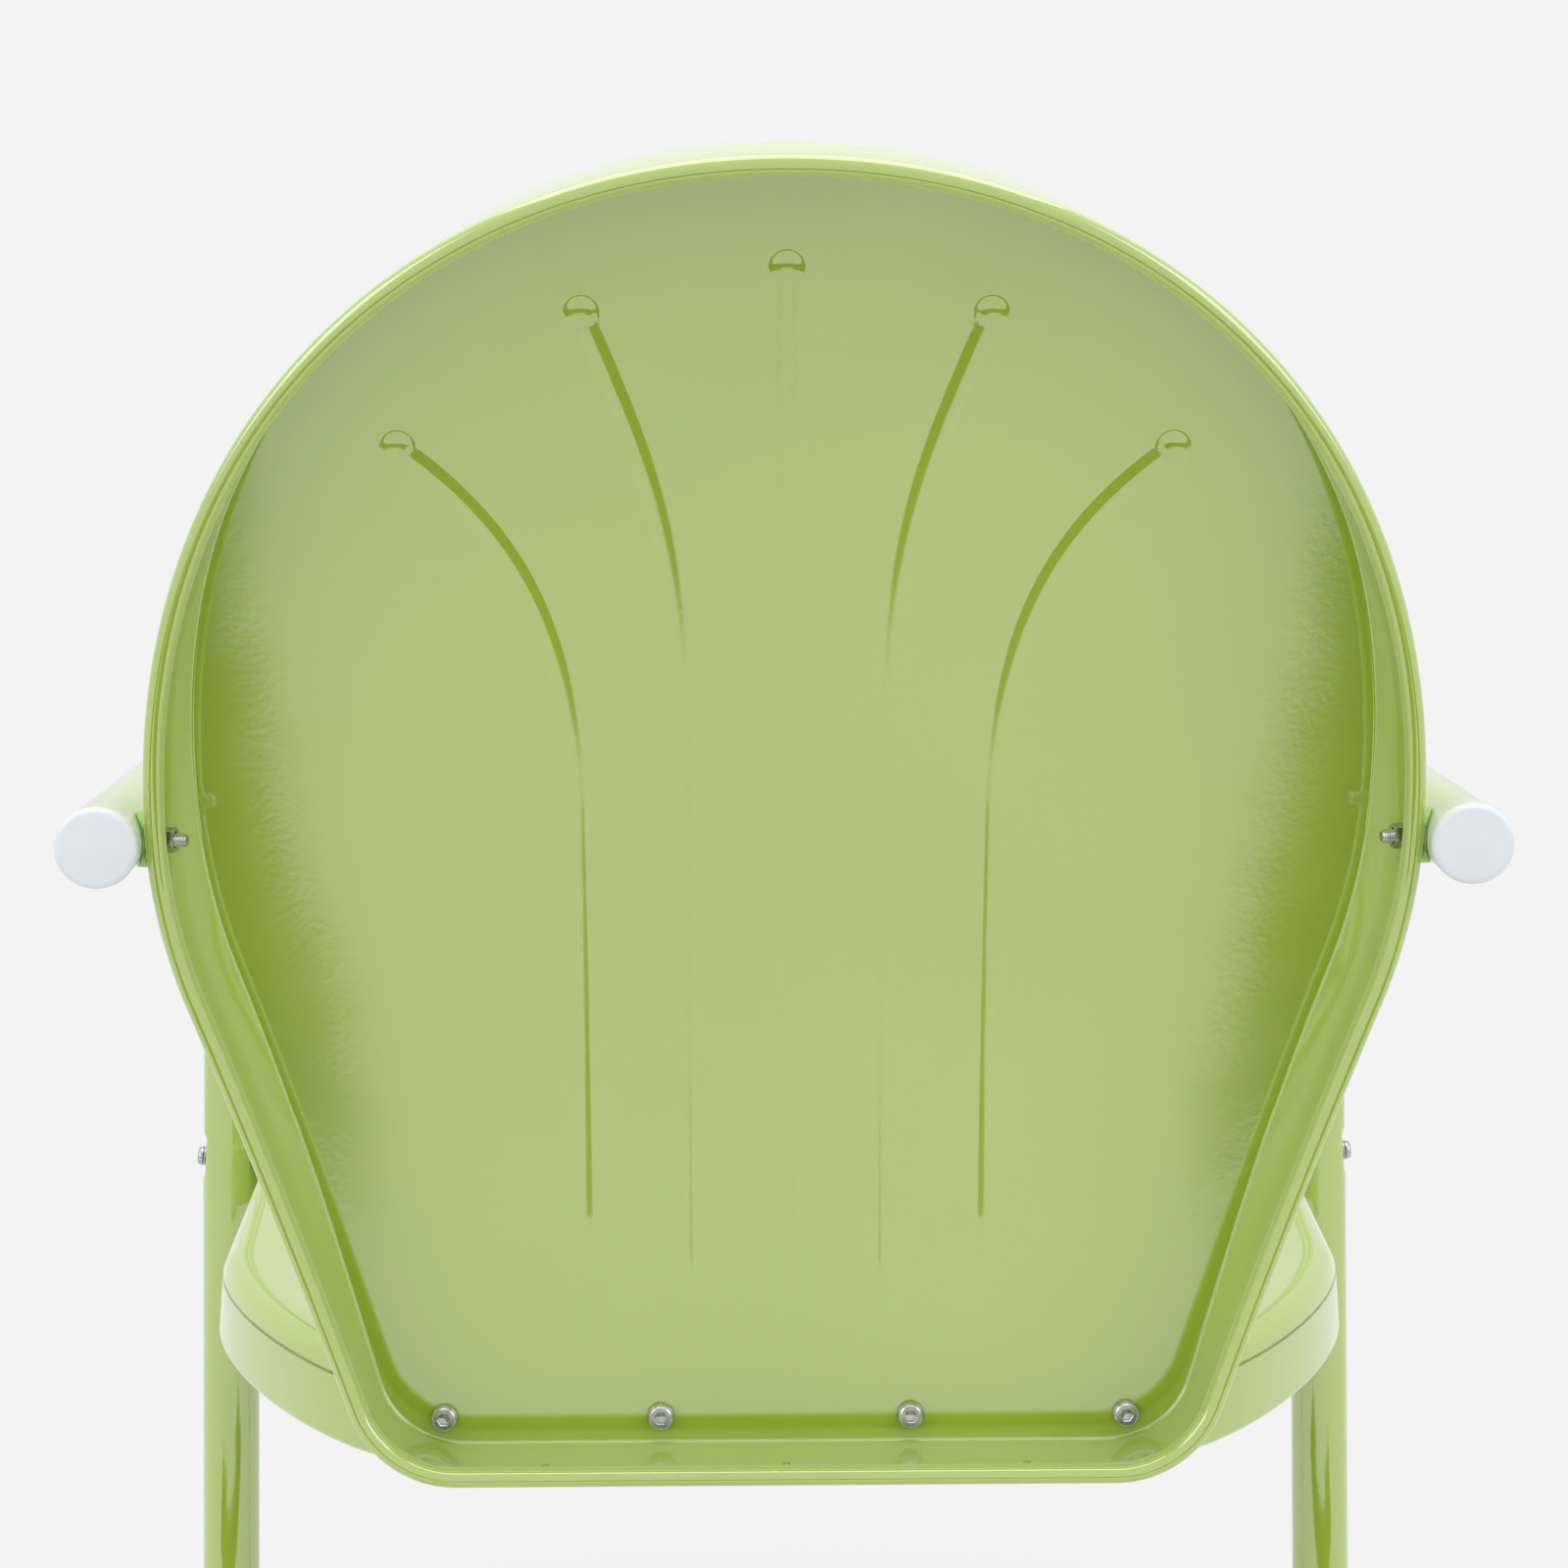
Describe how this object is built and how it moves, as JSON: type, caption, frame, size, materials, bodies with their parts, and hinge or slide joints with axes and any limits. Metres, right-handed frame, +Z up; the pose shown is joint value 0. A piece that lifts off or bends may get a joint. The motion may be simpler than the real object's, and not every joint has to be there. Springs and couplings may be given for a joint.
{
  "type": "spring lawn chair",
  "caption": "Cantilever lawn armchair: pressed steel pan seat and rounded ribbed back hung between bent tube side frames that form arms, front legs and a floor base.",
  "frame": {"origin": "on the floor, in the middle of the chair's outline seen from above", "axes": "+Z up, the sitter faces -Y, +X towards the sitter's left arm"},
  "size_m": [0.5904, 0.6052, 0.8378],
  "materials": {
    "green_paint": "high gloss lime green powder coat on steel tube and sheet",
    "white_plastic": "satin moulded white plastic",
    "green_plastic": "satin moulded green plastic",
    "steel_fastener": "bright plated steel"
  },
  "bodies": {
    "root": {"back_shell": "green_paint", "seat_pan": "green_paint", "side_frame_left": "green_paint", "side_frame_right": "green_paint", "base_rear_bar": "green_paint", "arm_cap_left": "white_plastic", "arm_cap_right": "white_plastic", "arm_spacer_left": "green_plastic", "arm_spacer_right": "green_plastic", "arm_bolt_left": "steel_fastener", "arm_bolt_right": "steel_fastener", "arm_washer_left": "steel_fastener", "arm_washer_right": "steel_fastener", "arm_nut_left": "steel_fastener", "arm_nut_right": "steel_fastener", "leg_spacer_left": "green_plastic", "leg_spacer_right": "green_plastic", "leg_bolt_left": "steel_fastener", "leg_bolt_right": "steel_fastener", "leg_outer_washer_left": "steel_fastener", "leg_outer_washer_right": "steel_fastener", "leg_inner_washer_left": "steel_fastener", "leg_inner_washer_right": "steel_fastener", "leg_nut_left": "steel_fastener", "leg_nut_right": "steel_fastener", "base_bolt_left": "steel_fastener", "base_bolt_right": "steel_fastener", "base_nut_left": "steel_fastener", "base_nut_right": "steel_fastener", "floor_glide_front_left": "white_plastic", "floor_glide_front_right": "white_plastic", "floor_glide_rear_left": "white_plastic", "floor_glide_rear_right": "white_plastic", "back_screw_1": "steel_fastener", "back_screw_2": "steel_fastener", "back_screw_3": "steel_fastener", "back_screw_4": "steel_fastener", "back_washer_1": "steel_fastener", "back_washer_2": "steel_fastener", "back_washer_3": "steel_fastener", "back_washer_4": "steel_fastener", "back_nut_1": "steel_fastener", "back_nut_2": "steel_fastener", "back_nut_3": "steel_fastener", "back_nut_4": "steel_fastener"}
  },
  "joints": []
}
